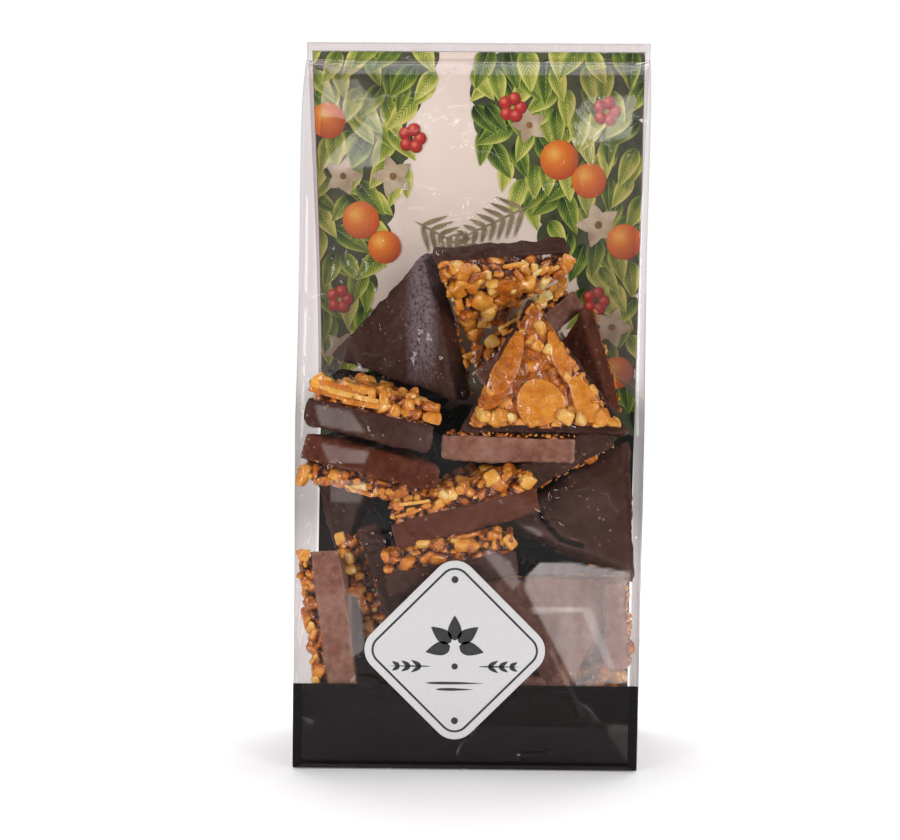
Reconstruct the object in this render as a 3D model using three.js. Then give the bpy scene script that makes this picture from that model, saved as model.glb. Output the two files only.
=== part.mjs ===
// A clear film bag of florentine biscuits that stands on its own block bottom.
// A folded card lines its back and floor and turns up in front as a short flap,
// and a square label sits on its point across the front of the film.
// Units are millimetres. +Z is up, +X is to the right of the front, -Y is towards the viewer.
// The origin is the middle of the base, on the surface that the pack stands on.
import * as THREE from "three";

// ---------- driving dimensions ----------
const CARD_WIDTH = 98; // the folded card, side to side
const CARD_THICKNESS = 0.5;
const CARD_HEIGHT = 206; // top edge of the back panel
const FLAP_HEIGHT = 24.6; // the turned-up front flap
const BASE_DEPTH = 50; // front to back, over the card
const CREASE_RADIUS = 1.5; // outside radius of the two folds

const FILM_HEIGHT = 209;
const FILM_WIDTH_LOW = 98.8; // where the biscuits fill the bag out
const FILM_WIDTH_TOP = 100.8; // across the flat seal
const CORNER_RADIUS = 3; // the bag's upright corners
const SEAL_BAND = 4.5; // height of the flat sealed band at the top
const SEAL_THICKNESS = 1.2;

const FOLD_START = 100; // height where the side gussets begin to fold in
const FOLD_SETTLED = 116; // height where they are folded all the way
const BULGE = 2.4; // how far the contents push the front out
const LUMP = 0.7; // and the biscuits' own bumps in it
const SIDE_BULGE = 0.5;

const BEND_HEIGHT = 116; // the back panel stands upright below and leans forward above
const BEND_LENGTH = 8; // how gently it bends there
const BACK_SLOPE = 0.235; // forward run for each millimetre of height above the bend
const SIDE_SLOPE = 0.0098; // the whole pack leans this little to the right
const CARD_DRIFT = 0.6; // the back panel sits this far to the right of the film's middle

const LABEL_SIDE = 40; // a square label, turned to stand on its point
const LABEL_CORNER = 6.5;
const LABEL_THICKNESS = 0.4;
const LABEL_X = -2.8;
const LABEL_Z = 34.7;

const GAP = 0.3; // clearance between pieces that touch

// ---------- materials ----------
const finish = (colour, roughness) =>
  new THREE.MeshStandardMaterial({ color: colour, roughness, metalness: 0 });
const filledFilm = finish(0x6a4433, 0.25);
const blackCard = finish(0x2a2524, 0.45);
const labelPaper = finish(0xf4f2ee, 0.6);

// ---------- shared form ----------
const clamp01 = (t) => Math.min(1, Math.max(0, t));
const smooth = (from, to, value) => {
  const t = clamp01((value - from) / (to - from));
  return t * t * (3 - 2 * t);
};
const leanX = (z) => SIDE_SLOPE * z;

// Outer face of the back panel: upright, then leaning forward after a rounded bend.
function backY(z) {
  const past = BEND_LENGTH * Math.log(1 + Math.exp((z - BEND_HEIGHT) / BEND_LENGTH));
  return BASE_DEPTH / 2 - BACK_SLOPE * past;
}

// Depth of the bag at its sides: full where it is filled, closing as a parabola to the seal.
function sideDepth(z) {
  const sealFoot = FILM_HEIGHT - SEAL_BAND;
  const rise = clamp01((z - FOLD_START) / (sealFoot - FOLD_START));
  const inset = CARD_THICKNESS + GAP;
  return Math.max(SEAL_THICKNESS, BASE_DEPTH * Math.sqrt(1 - rise) - inset);
}

// Inside face of the back panel, less the clearance: the bag's own back.
const bagBackY = (z) => backY(z) - CARD_THICKNESS - GAP;

// The bag's front at its sides: behind the flap low down, then flush with the flap's outer face.
function frontSideY(z) {
  const behindFlap = (CARD_THICKNESS + GAP) * (1 - smooth(FLAP_HEIGHT, FLAP_HEIGHT + 4, z));
  const upright = -BASE_DEPTH / 2 + behindFlap;
  return Math.max(upright, bagBackY(z) - sideDepth(z));
}

// How far the contents push the front film out at one point of it.
function frontBulge(across, z) {
  const above = smooth(LABEL_Z + LABEL_SIDE / Math.SQRT2 - 4, 82, z);
  const below = 1 - smooth(140, FILM_HEIGHT - SEAL_BAND, z);
  const crown = 1 - across * across;
  const bumps = Math.cos(across * 7 + z * 0.05) * Math.cos(z * 0.16 + across * 2);
  return above * below * crown * (BULGE + LUMP * bumps);
}

// Half the gusset's width folds in as a V whose two sides keep their length.
function gussetInset(z) {
  const half = BASE_DEPTH / 2;
  const open = Math.min(half, sideDepth(z) / 2);
  const started = smooth(FOLD_START, FOLD_SETTLED, z);
  const beforeSeal = 1 - smooth(FILM_HEIGHT - SEAL_BAND - 5, FILM_HEIGHT - SEAL_BAND, z);
  return started * beforeSeal * Math.sqrt(half * half - open * open);
}

const filmHalfWidth = (z) =>
  (FILM_WIDTH_LOW + (FILM_WIDTH_TOP - FILM_WIDTH_LOW) * smooth(140, FILM_HEIGHT, z)) / 2;

// ---------- bag ----------
const CORNER_STEPS = 4;
const FRONT_STEPS = 12;
const GUSSET_STEPS = 3;
const BACK_STEPS = 4;

// One level outline of the bag, anticlockwise from above, starting at the front left corner.
function bagOutline(z, shrink = 0) {
  const half = filmHalfWidth(z) - shrink;
  const front = frontSideY(z) + shrink;
  const back = bagBackY(z) - shrink;
  const radius = Math.min(CORNER_RADIUS, (back - front) * 0.25);
  const flat = half - radius;
  const points = [];
  const put = (x, y) => points.push(new THREE.Vector3(x + leanX(z), y, z));

  for (let i = 0; i <= CORNER_STEPS; i++) {
    const turn = ((i / CORNER_STEPS) * Math.PI) / 2;
    put(-flat - radius * Math.cos(turn), front + radius * (1 - Math.sin(turn)));
  }
  for (let i = 1; i < FRONT_STEPS; i++) {
    const across = -1 + (2 * i) / FRONT_STEPS;
    put(across * flat, front - frontBulge(across, z));
  }
  for (let i = CORNER_STEPS; i >= 0; i--) {
    const turn = ((i / CORNER_STEPS) * Math.PI) / 2;
    put(flat + radius * Math.cos(turn), front + radius * (1 - Math.sin(turn)));
  }

  const inset = gussetInset(z);
  const foldY = (front + radius + back) / 2;
  const swell = SIDE_BULGE * smooth(10, 50, z) * (1 - smooth(85, FOLD_START, z));
  const gusset = []; // from the front corner to the back corner, as [inset, y]
  for (let i = 1; i < 2 * GUSSET_STEPS; i++) {
    const way = i / GUSSET_STEPS; // 1 at the inner fold
    const deep = way <= 1 ? way : 2 - way;
    const y = way <= 1
      ? THREE.MathUtils.lerp(front + radius, foldY, way)
      : THREE.MathUtils.lerp(foldY, back, way - 1);
    gusset.push([inset * deep - swell * deep, y]);
  }
  for (const [deep, y] of gusset) put(half - deep, y);
  for (let i = 0; i <= BACK_STEPS; i++) put(half * (1 - (2 * i) / BACK_STEPS), back);
  for (const [deep, y] of gusset.reverse()) put(-half + deep, y);
  return points;
}

// Skin over a stack of equal outlines, closed by a flat face at each end.
function loft(outlines) {
  const count = outlines[0].length;
  const index = [];
  for (let level = 0; level + 1 < outlines.length; level++) {
    for (let i = 0; i < count; i++) {
      const a = level * count + i;
      const b = level * count + ((i + 1) % count);
      index.push(a, b, b + count, a, b + count, a + count);
    }
  }
  const flatOutline = (outline) => outline.map((p) => new THREE.Vector2(p.x, p.y));
  for (const [a, b, c] of THREE.ShapeUtils.triangulateShape(flatOutline(outlines[0]), [])) {
    index.push(a, c, b);
  }
  const lid = (outlines.length - 1) * count;
  const top = outlines[outlines.length - 1];
  for (const [a, b, c] of THREE.ShapeUtils.triangulateShape(flatOutline(top), [])) {
    index.push(lid + a, lid + b, lid + c);
  }
  return new THREE.BufferGeometry().setFromPoints(outlines.flat()).setIndex(index);
}

function bagGeometry() {
  const foot = CARD_THICKNESS + GAP;
  const sealFoot = FILM_HEIGHT - SEAL_BAND;
  const heights = [];
  const climb = (to, steps) => {
    const from = heights[heights.length - 1];
    for (let i = 1; i <= steps; i++) heights.push(from + ((to - from) * i) / steps);
  };
  heights.push(foot, foot + 1);
  climb(FLAP_HEIGHT, 2);
  climb(FLAP_HEIGHT + 4, 2);
  climb(60, 3);
  climb(FOLD_START, 7);
  climb(FOLD_SETTLED, 4);
  climb(190, 14);
  climb(sealFoot, 7);
  climb(FILM_HEIGHT, 1);
  const outlines = heights.map((z, level) => bagOutline(z, level === 0 ? 1 : 0));
  return loft(outlines);
}

// ---------- card ----------
// The card's outer line in the Y-Z plane, from the flap's top edge, round the floor
// and up to the back panel's top edge, with the way out of the pack at each point.
function cardLine() {
  const line = [];
  const put = (y, z, outY, outZ) => line.push({ y, z, outY, outZ });
  const front = -BASE_DEPTH / 2;
  const radius = CREASE_RADIUS;
  const creaseSteps = 3;
  put(front, FLAP_HEIGHT, -1, 0);
  for (let i = 0; i <= creaseSteps; i++) {
    const turn = ((i / creaseSteps) * Math.PI) / 2;
    const [outY, outZ] = [-Math.cos(turn), -Math.sin(turn)];
    put(front + radius + radius * outY, radius + radius * outZ, outY, outZ);
  }
  for (let i = 0; i <= creaseSteps; i++) {
    const turn = ((i / creaseSteps) * Math.PI) / 2;
    const [outY, outZ] = [Math.sin(turn), -Math.cos(turn)];
    put(-front - radius + radius * outY, radius + radius * outZ, outY, outZ);
  }
  const wallSteps = 28;
  const wallFoot = 60; // straight up to here
  for (let i = 0; i <= wallSteps; i++) {
    const z = wallFoot + ((CARD_HEIGHT - wallFoot) * i) / wallSteps;
    const slope = backY(z + 0.5) - backY(z - 0.5);
    const length = Math.hypot(1, slope);
    put(backY(z), z, 1 / length, -slope / length);
  }
  return line;
}

// How far the back panel drifts sideways in the film: most at mid height, nothing at either end.
const cardDrift = (z) => CARD_DRIFT * smooth(40, 130, z) * (1 - smooth(150, CARD_HEIGHT, z));

function cardGeometry() {
  const sections = cardLine().map(({ y, z, outY, outZ }) => {
    const middle = leanX(z) + (y > 0 ? cardDrift(z) : 0);
    const inner = [y - outY * CARD_THICKNESS, z - outZ * CARD_THICKNESS];
    return [
      new THREE.Vector3(middle - CARD_WIDTH / 2, y, z),
      new THREE.Vector3(middle - CARD_WIDTH / 2, ...inner),
      new THREE.Vector3(middle + CARD_WIDTH / 2, ...inner),
      new THREE.Vector3(middle + CARD_WIDTH / 2, y, z),
    ];
  });
  const index = [];
  for (let i = 0; i + 1 < sections.length; i++) {
    for (let corner = 0; corner < 4; corner++) {
      const a = i * 4 + corner;
      const b = i * 4 + ((corner + 1) % 4);
      index.push(a, b, a + 4, b, b + 4, a + 4);
    }
  }
  const last = (sections.length - 1) * 4;
  index.push(0, 2, 1, 0, 3, 2);
  index.push(last, last + 1, last + 2, last, last + 2, last + 3);
  return new THREE.BufferGeometry().setFromPoints(sections.flat()).setIndex(index);
}

// ---------- label ----------
function labelGeometry() {
  const half = LABEL_SIDE / 2;
  const flat = half - LABEL_CORNER;
  const outline = new THREE.Shape();
  outline.moveTo(half, -flat);
  for (const quarter of [0, 1, 2, 3]) {
    const start = (quarter * Math.PI) / 2;
    const turned = new THREE.Vector2(flat, flat).rotateAround(new THREE.Vector2(), start);
    outline.absarc(turned.x, turned.y, LABEL_CORNER, start, start + Math.PI / 2, false);
  }
  outline.closePath();
  return new THREE.ExtrudeGeometry(outline, {
    depth: LABEL_THICKNESS,
    bevelEnabled: false,
    curveSegments: 6,
  });
}

// ---------- the pack ----------
function piece(name, geometry, material) {
  geometry.computeVertexNormals();
  const mesh = new THREE.Mesh(geometry, material);
  mesh.name = name;
  return mesh;
}

const pack = new THREE.Group();
pack.name = "florentine_pack";
pack.add(piece("bag", bagGeometry(), filledFilm));
pack.add(piece("card", cardGeometry(), blackCard));

// The label faces the viewer on the flap and the film above it.
const label = piece("label", labelGeometry(), labelPaper);
const labelPlace = new THREE.Group();
labelPlace.position.set(LABEL_X, -BASE_DEPTH / 2 - GAP, LABEL_Z);
labelPlace.rotation.set(Math.PI / 2, 0, 0);
label.rotation.z = Math.PI / 4;
labelPlace.add(label);
pack.add(labelPlace);

export default pack;
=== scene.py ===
"""A clear film bag of florentines with its printed card and diamond label, as a Blender add-on.

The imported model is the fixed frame, and each operator below adds one piece or group of like pieces
in that frame: +Z up, +X to the right of the front, -Y towards the viewer.
Sizes in this file are millimetres until a mesh is finished, and MM turns them into metres.
"""

import math
import random

import bpy
import numpy as np
from mathutils import Matrix, Vector


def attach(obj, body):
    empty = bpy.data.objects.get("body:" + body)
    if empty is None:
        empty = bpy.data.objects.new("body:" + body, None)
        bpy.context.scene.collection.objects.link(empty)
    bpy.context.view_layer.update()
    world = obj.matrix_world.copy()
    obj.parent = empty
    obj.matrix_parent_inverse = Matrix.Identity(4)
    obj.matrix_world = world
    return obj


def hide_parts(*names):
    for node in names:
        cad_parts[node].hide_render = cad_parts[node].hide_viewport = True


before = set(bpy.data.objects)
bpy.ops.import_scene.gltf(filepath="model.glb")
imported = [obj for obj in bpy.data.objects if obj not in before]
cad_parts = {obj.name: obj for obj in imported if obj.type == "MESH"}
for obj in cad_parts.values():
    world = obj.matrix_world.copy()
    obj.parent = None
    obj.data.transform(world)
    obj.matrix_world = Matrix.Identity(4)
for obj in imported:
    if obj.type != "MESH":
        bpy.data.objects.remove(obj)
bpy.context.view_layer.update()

bl_info = {
    "name": "Pack of florentines",
    "version": (1, 0, 0),
    "blender": (4, 5, 0),
    "location": "View3D > Sidebar > Florentines",
    "description": "Builds a clear bag of florentines with a folded card and a diamond label",
    "category": "Add Mesh",
}

MM = 0.001
LEVEL = 1e-6  # heights that differ by less than this, in metres, count as one
DOUBLES = 1e-7  # points that are closer than this, in metres, are merged

# ---------- the pack's form, in millimetres ----------
BASE_DEPTH = 50
HALF_DEPTH = BASE_DEPTH / 2

CARD_WIDTH = 98
CARD_THICKNESS = 0.5
CARD_HEIGHT = 207
FLAP_HEIGHT = 24.6
CREASE_RADIUS = 1.5
CARD_DRIFT = 0.6  # how far the card wanders to the right, half way up

FILM_HEIGHT = 209
FILM_WIDTH_LOW = 98.8
FILM_WIDTH_TOP = 100.8
SEAL_BAND = 4.5
SEAL_FOOT = FILM_HEIGHT - SEAL_BAND
SEAL_THICKNESS = 1.2
CORNER_RADIUS = 3
FOLD_START = 100
FOLD_SETTLED = 116
FILM_CLEARANCE = 0.15
FILM_SLACK = 0.8

BEND_HEIGHT = 116
BEND_LENGTH = 8
BACK_SLOPE = 0.235
SIDE_SLOPE = 0.0098

LABEL_SIDE = 40
LABEL_CORNER = 6.5
LABEL_THICKNESS = 0.4
LABEL_X = -2.8
LABEL_Z = 34.7
LABEL_BACK = -HALF_DEPTH - 0.3


def smooth(start, end, value):
    """0 before start, 1 after end, and an even S between them."""
    way = np.clip((np.asarray(value, float) - start) / (end - start), 0, 1)
    return way * way * (3 - 2 * way)


def lean_x(z):
    """How far the pack's middle leans to the right at a height."""
    return SIDE_SLOPE * z


def back_y(z):
    """Outer face of the card's back panel: upright, then leaning forward above a soft bend."""
    past = BEND_LENGTH * np.logaddexp(0, (np.asarray(z, float) - BEND_HEIGHT) / BEND_LENGTH)
    return HALF_DEPTH - BACK_SLOPE * past


def side_depth(z):
    """Depth of the bag at its sides: full where it is filled, closing as a parabola to the seal."""
    rise = np.clip((np.asarray(z, float) - FOLD_START) / (SEAL_FOOT - FOLD_START), 0, 1)
    return np.maximum(SEAL_THICKNESS, BASE_DEPTH * np.sqrt(1 - rise) - FILM_SLACK)


def front_y(z):
    """The film's front at the sides of the bag: flush with the flap, then leaning back to the seal."""
    return np.maximum(-HALF_DEPTH - FILM_CLEARANCE, back_y(z) - FILM_SLACK - side_depth(z))


# ---------- making meshes ----------
def take(piece=None):
    """Leaves one piece selected and active, or nothing, so that an operator acts on it alone."""
    if bpy.context.object and bpy.context.object.mode != "OBJECT":
        bpy.ops.object.mode_set(mode="OBJECT")
    bpy.ops.object.select_all(action="DESELECT")
    if piece:
        piece.select_set(True)
        bpy.context.view_layer.objects.active = piece


def new_primitive(add, name, **size):
    """Adds a primitive by its operator and names it."""
    take()
    add(**size)
    piece = bpy.context.object
    piece.name = piece.data.name = name
    return piece


def settle(piece, matrix):
    """Moves and turns a piece by a matrix, and puts that into its mesh."""
    piece.matrix_world = matrix
    take(piece)
    bpy.ops.object.transform_apply(location=True, rotation=True, scale=True)


def modify(piece, kind, **settings):
    """Adds a modifier and applies it."""
    take(piece)
    modifier = piece.modifiers.new(kind.title(), kind)
    for key, value in settings.items():
        setattr(modifier, key, value)
    bpy.ops.object.modifier_apply(modifier=modifier.name)


def bevel_edges(piece, wanted, offset, segments):
    """Rounds the edges whose two ends satisfy wanted."""
    take(piece)
    bpy.ops.object.mode_set(mode="EDIT")
    bpy.ops.mesh.select_mode(type="EDGE")
    bpy.ops.mesh.select_all(action="DESELECT")
    bpy.ops.object.mode_set(mode="OBJECT")
    points = piece.data.vertices
    for edge in piece.data.edges:
        edge.select = wanted(*(points[i].co for i in edge.vertices))
    bpy.ops.object.mode_set(mode="EDIT")
    bpy.ops.mesh.bevel(offset=offset, segments=segments, affect="EDGES")
    bpy.ops.object.mode_set(mode="OBJECT")


def upright(a, b):
    """Whether an edge runs up a flat piece's side."""
    return abs(a.z - b.z) > LEVEL


def outward(piece, angle):
    """Merges doubles, points every face outwards and shades smooth up to an angle in degrees."""
    take(piece)
    bpy.ops.object.mode_set(mode="EDIT")
    bpy.ops.mesh.select_all(action="SELECT")
    bpy.ops.mesh.remove_doubles(threshold=DOUBLES)
    bpy.ops.mesh.normals_make_consistent(inside=False)
    bpy.ops.object.mode_set(mode="OBJECT")
    shade(piece, angle)


def shade(piece, angle):
    """Shades a piece smooth up to an angle in degrees."""
    take(piece)
    bpy.ops.object.shade_smooth_by_angle(angle=math.radians(angle))


def point_values(mesh, name, values):
    """Stores a number for each point of a mesh, which a finish then reads by name."""
    mesh.attributes.new(name, "FLOAT", "POINT").data.foreach_set("value", values)


def mesh_piece(name, points, faces, **values):
    """A piece from points in millimetres and faces, with numbers for its points."""
    mesh = bpy.data.meshes.new(name)
    mesh.from_pydata((points * MM).tolist(), [], faces)
    for key, numbers in values.items():
        point_values(mesh, key, numbers)
    piece = bpy.data.objects.new(name, mesh)
    bpy.context.collection.objects.link(piece)
    return piece


def dress(piece, slot, finish, *nodes):
    """Gives a finished piece its material and its body, and hides the nodes it stands for; slot is not
    used.
    """
    piece.data.materials.clear()
    piece.data.materials.append(finish)
    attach(piece, "root")
    if nodes:
        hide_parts(*nodes)


class Form:
    """A small shape that is modelled once and copied many times into joined meshes."""

    def __init__(self, piece):
        mesh = piece.data
        self.points = np.array([v.co[:] for v in mesh.vertices])
        self.faces = [tuple(face.vertices) for face in mesh.polygons]
        layer = mesh.uv_layers.active
        loops = [i for face in mesh.polygons for i in face.loop_indices] if layer else []
        self.uvs = [tuple(layer.data[i].uv) for i in loops]
        bpy.data.objects.remove(piece)
        bpy.data.meshes.remove(mesh)


class Heap:
    """Copies of forms, gathered as arrays and joined into one mesh."""

    def __init__(self):
        self.points, self.faces, self.tones, self.uvs = [], [], [], []
        self.count = 0

    def put(self, form, points, tone):
        """Adds one copy of a form whose points are already placed."""
        self.points.append(points)
        self.faces += [tuple(i + self.count for i in face) for face in form.faces]
        self.tones.append(np.full(len(points), tone))
        self.uvs += form.uvs
        self.count += len(points)

    def piece(self, name):
        """The joined piece, with its tones and, where the forms have one, its UV map."""
        piece = mesh_piece(name, np.concatenate(self.points), self.faces, tone=np.concatenate(self.tones))
        if self.uvs:
            layer = piece.data.uv_layers.new(name="UVMap")
            layer.data.foreach_set("uv", np.array(self.uvs).ravel())
        return piece


# ---------- making materials ----------
def darker(colour, share):
    return tuple(channel * share for channel in colour)


class Finish:
    """A material with short ways to add and link its nodes."""

    def __init__(self, name):
        self.material = bpy.data.materials.new(name)
        self.material.use_nodes = True
        self.tree = self.material.node_tree
        self.shader = self.tree.nodes["Principled BSDF"]
        self.coords = self.tree.nodes.new("ShaderNodeTexCoord").outputs["Object"]

    def add(self, kind, inputs=None, **settings):
        node = self.tree.nodes.new(kind)
        for key, value in settings.items():
            setattr(node, key, value)
        for key, value in (inputs or {}).items():
            self.feed(node.inputs[key], value)
        return node

    def feed(self, socket, value):
        """Links a socket to another, or sets its own value."""
        if isinstance(value, bpy.types.NodeSocket):
            self.tree.links.new(value, socket)
        else:
            socket.default_value = value

    def set(self, **inputs):
        """Sets or links sockets of the main shader, by name with _ for a space."""
        for key, value in inputs.items():
            self.feed(self.shader.inputs[key.replace("_", " ")], value)

    def noise(self, scale, detail=2.0, roughness=0.5, vector=None):
        inputs = {"Vector": vector or self.coords, "Scale": scale, "Detail": detail, "Roughness": roughness}
        return self.add("ShaderNodeTexNoise", inputs).outputs["Fac"]

    def cells(self, scale):
        """Distance to the middle of the nearest of many scattered cells."""
        inputs = {"Vector": self.coords, "Scale": scale}
        return self.add("ShaderNodeTexVoronoi", inputs).outputs["Distance"]

    def stretched(self, scale, rotation=(0, 0, 0)):
        inputs = {"Vector": self.coords, "Rotation": rotation, "Scale": scale}
        return self.add("ShaderNodeMapping", inputs).outputs[0]

    def split(self, vector=None):
        """The X, Y and Z of a vector."""
        return self.add("ShaderNodeSeparateXYZ", {0: vector or self.coords}).outputs

    def uv(self):
        return self.add("ShaderNodeTexCoord").outputs["UV"]

    def math(self, operation, a, b=0.5, clamp=False):
        return self.add("ShaderNodeMath", {0: a, 1: b}, operation=operation, use_clamp=clamp).outputs[0]

    def times(self, a, b):
        return self.math("MULTIPLY", a, b)

    def plus(self, a, b):
        return self.math("ADD", a, b)

    def off(self, value, middle=0.5):
        """How far a value lies from a middle one."""
        return self.math("ABSOLUTE", self.math("SUBTRACT", value, middle))

    def span(self, value, low, high, to_low=0.0, to_high=1.0):
        """Maps low..high to to_low..to_high and clamps."""
        inputs = {"Value": value, "From Min": low, "From Max": high, "To Min": to_low, "To Max": to_high}
        return self.add("ShaderNodeMapRange", inputs).outputs["Result"]

    def patchy(self, mark, scale, low, high):
        """Keeps a mark only where a broad noise is high."""
        return self.times(mark, self.span(self.noise(scale), low, high))

    def ramp(self, factor, *stops):
        """A colour ramp through (place, colour) stops."""
        node = self.add("ShaderNodeValToRGB", {"Fac": factor})
        elements = node.color_ramp.elements
        while len(elements) < len(stops):
            elements.new(0.5)
        for element, (place, colour) in zip(elements, stops):
            element.position = place
            element.color = (*colour, 1)
        return node.outputs["Color"]

    def mix(self, factor, a, b):
        """Colour a where factor is 0 and b where it is 1."""
        node = self.add("ShaderNodeMix", data_type="RGBA")
        self.feed(node.inputs["Factor"], factor)
        for index, value in ((6, a), (7, b)):
            self.feed(node.inputs[index], value if isinstance(value, bpy.types.NodeSocket) else (*value, 1))
        return node.outputs[2]

    def bump(self, height, distance, strength=1.0, normal=None):
        inputs = {"Height": height, "Distance": distance, "Strength": strength}
        if normal:
            inputs["Normal"] = normal
        return self.add("ShaderNodeBump", inputs).outputs["Normal"]

    def attribute(self, name):
        return self.add("ShaderNodeAttribute", attribute_name=name).outputs["Fac"]


SHEEN_BAND_X = -14  # middle of the band of painted sheen on the tall dark biscuit
PAINTED_SHEEN_COLOUR = (0.25, 0.20, 0.225)
SCRATCH_COLOUR = (0.30, 0.19, 0.15)
CRUMB_COLOUR = (0.36, 0.20, 0.13)


def chocolate_finish(name, colour, bloom, painted_sheen):
    """Tempered chocolate: satin, with a broad sheen, pits, hair scratches, crumbs and a little bloom, with
    a band of painted sheen and painted shade in its pits and crack.
    """
    f = Finish(name)
    patches = f.noise(55, 5, 0.62)
    mottle = f.noise(420, 5, 0.65)
    body = f.mix(f.span(patches, 0.42, 0.72, 0, 0.6), colour, bloom)
    body = f.mix(f.span(mottle, 0.48, 0.75, 0, 0.5), body, bloom)
    body = f.mix(f.span(mottle, 0.28, 0.46, 0.55, 0), body, darker(colour, 0.45))

    # A scratch is where a stretched noise crosses its middle value, and only in some places.
    wander = f.noise(75, 2, 0.4, f.stretched((1, 0.35, 1), (0.4, 0.9, 0.3)))
    scratch = f.patchy(f.span(f.off(wander), 0.0, 0.006, 1, 0), 110, 0.5, 0.62)
    crumb = f.patchy(f.span(f.cells(430), 0.13, 0.2, 1, 0), 150, 0.46, 0.56)
    pit_shade = f.patchy(f.span(f.cells(270), 0.1, 0.16, 1, 0), 90, 0.48, 0.56)
    worn = f.span(f.add("ShaderNodeNewGeometry").outputs["Pointiness"], 0.51, 0.57)
    body = f.mix(f.times(worn, f.span(mottle, 0.3, 0.6, 0.2, 0.8)), body, bloom)
    # A crack is painted darker, as painted shade inside it.
    body = f.mix(f.span(f.attribute("groove"), 0.1, 0.6, 0, 0.95), body, darker(colour, 0.1))
    # Pits are painted darker, as painted shade inside them.
    body = f.mix(f.times(pit_shade, 0.6), body, darker(colour, 0.3))

    # The tall biscuit at the upper left has a speckled band of painted sheen down its face, a strip of
    # reflected light painted into the colour.
    x, _, z = f.split()
    off_band = f.off(x, SHEEN_BAND_X * MM)
    band = f.times(f.span(off_band, 2 * MM, 5.5 * MM, 1, 0), f.span(z, 106 * MM, 118 * MM))
    speckled = f.times(band, f.span(f.noise(900, 3, 0.7), 0.32, 0.58))
    body = f.mix(f.times(speckled, painted_sheen), body, PAINTED_SHEEN_COLOUR)
    body = f.mix(f.times(scratch, 0.4), body, SCRATCH_COLOUR)
    body = f.mix(f.times(crumb, 0.6), body, CRUMB_COLOUR)

    uneven = f.bump(mottle, 0.0004, 0.5)
    pits = f.bump(f.span(f.cells(560), 0.0, 0.35), 0.0001, 0.5, uneven)
    grit = f.bump(f.plus(f.noise(3200), f.times(crumb, 1.5)), 0.00006, 0.7, pits)
    f.set(Base_Color=body, Roughness=f.span(patches, 0.3, 0.7, 0.34, 0.55), Normal=grit)
    f.set(Specular_IOR_Level=0.15)
    return f.material


def nougatine_finish():
    """Chopped nuts in caramel: tone runs from 0, dark caramel, to 1, a cream cut nut; the low tones in the
    cracks are painted shade.
    """
    f = Finish("glazed_nougatine")
    blotch = f.noise(380, 4, 0.6)
    fine = f.span(f.noise(1700, 3), 0.3, 0.7, -0.03, 0.03)
    uneven = f.plus(f.span(blotch, 0.3, 0.7, -0.17, 0.17), fine)
    nut = f.ramp(
        f.plus(f.attribute("tone"), uneven),
        (0.0, (0.050, 0.010, 0.001)),
        (0.2, (0.240, 0.048, 0.002)),
        (0.42, (0.560, 0.150, 0.005)),
        (0.65, (0.760, 0.285, 0.016)),
        (0.85, (0.860, 0.470, 0.080)),
        (1.0, (0.910, 0.680, 0.270)),
    )
    # Pale flecks painted into the colour are painted glints, standing for light catching sugar.
    painted_glint = f.times(f.span(f.noise(2600), 0.63, 0.7), 0.6)
    f.set(Base_Color=f.mix(painted_glint, nut, (0.95, 0.80, 0.52)))
    f.set(Roughness=f.span(f.noise(600, 3), 0.35, 0.65, 0.12, 0.36))
    f.set(Specular_IOR_Level=0.35, Coat_Weight=0.7, Coat_Roughness=0.06)
    f.set(Subsurface_Weight=0.15, Subsurface_Radius=(0.0022, 0.0009, 0.0003))
    f.set(Normal=f.bump(blotch, 0.0008, 0.6, f.bump(f.noise(2300), 0.00014, 0.7)))
    return f.material


def film_finish(haze_and_reflection_colour):
    """Clear film: see-through, glossy with fine creases, and milky where its point attribute says, which
    holds real milkiness and painted reflections.
    """
    f = Finish("clear_film")
    facing = f.add("ShaderNodeLayerWeight", {"Blend": 0.5}).outputs["Facing"]
    mirror = f.plus(f.times(f.math("POWER", facing, 5.0), 0.7), 0.02)
    uneven = f.span(f.noise(160, 3, 0.6, f.stretched((1, 1, 0.25))), 0.3, 0.7, 0.75, 1.25)
    # The attribute holds the film's milkiness together with painted reflections of the softboxes.
    milky = f.times(f.attribute("haze"), uneven)
    haze = f.math("ADD", f.times(f.math("POWER", facing, 4.0), 0.15), milky, clamp=True)
    tint = f.mix(f.span(facing, 0.1, 0.7), (0.95, 0.932, 0.93), (0.84, 0.80, 0.80))
    # Darker through the folded sides: their film layers, and painted shade on the left side.
    tint = f.mix(f.attribute("fold"), tint, (0.80, 0.745, 0.74))
    clear = f.add("ShaderNodeBsdfTransparent", {"Color": tint}).outputs[0]
    cloudy = f.add("ShaderNodeBsdfDiffuse", {"Color": (*haze_and_reflection_colour, 1)}).outputs[0]
    glossy = f.add("ShaderNodeBsdfAnisotropic", {"Color": (1, 1, 1, 1), "Roughness": 0.06})

    # A crease is where a broad noise crosses its middle value, and only in some places.
    crease = f.patchy(f.span(f.off(f.noise(38, 3, 0.55)), 0.0, 0.02, 1, 0), 30, 0.5, 0.62)
    waves = f.bump(f.noise(60), 0.0006, 0.25)
    f.feed(glossy.inputs["Normal"], f.bump(crease, 0.0009, 0.8, waves))
    body = f.add("ShaderNodeMixShader", {0: haze, 1: clear, 2: cloudy}).outputs[0]
    skin = f.add("ShaderNodeMixShader", {0: mirror, 1: body, 2: glossy.outputs[0]}).outputs[0]
    f.tree.nodes.remove(f.shader)
    f.feed(f.tree.nodes["Material Output"].inputs["Surface"], skin)
    return f.material


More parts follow.
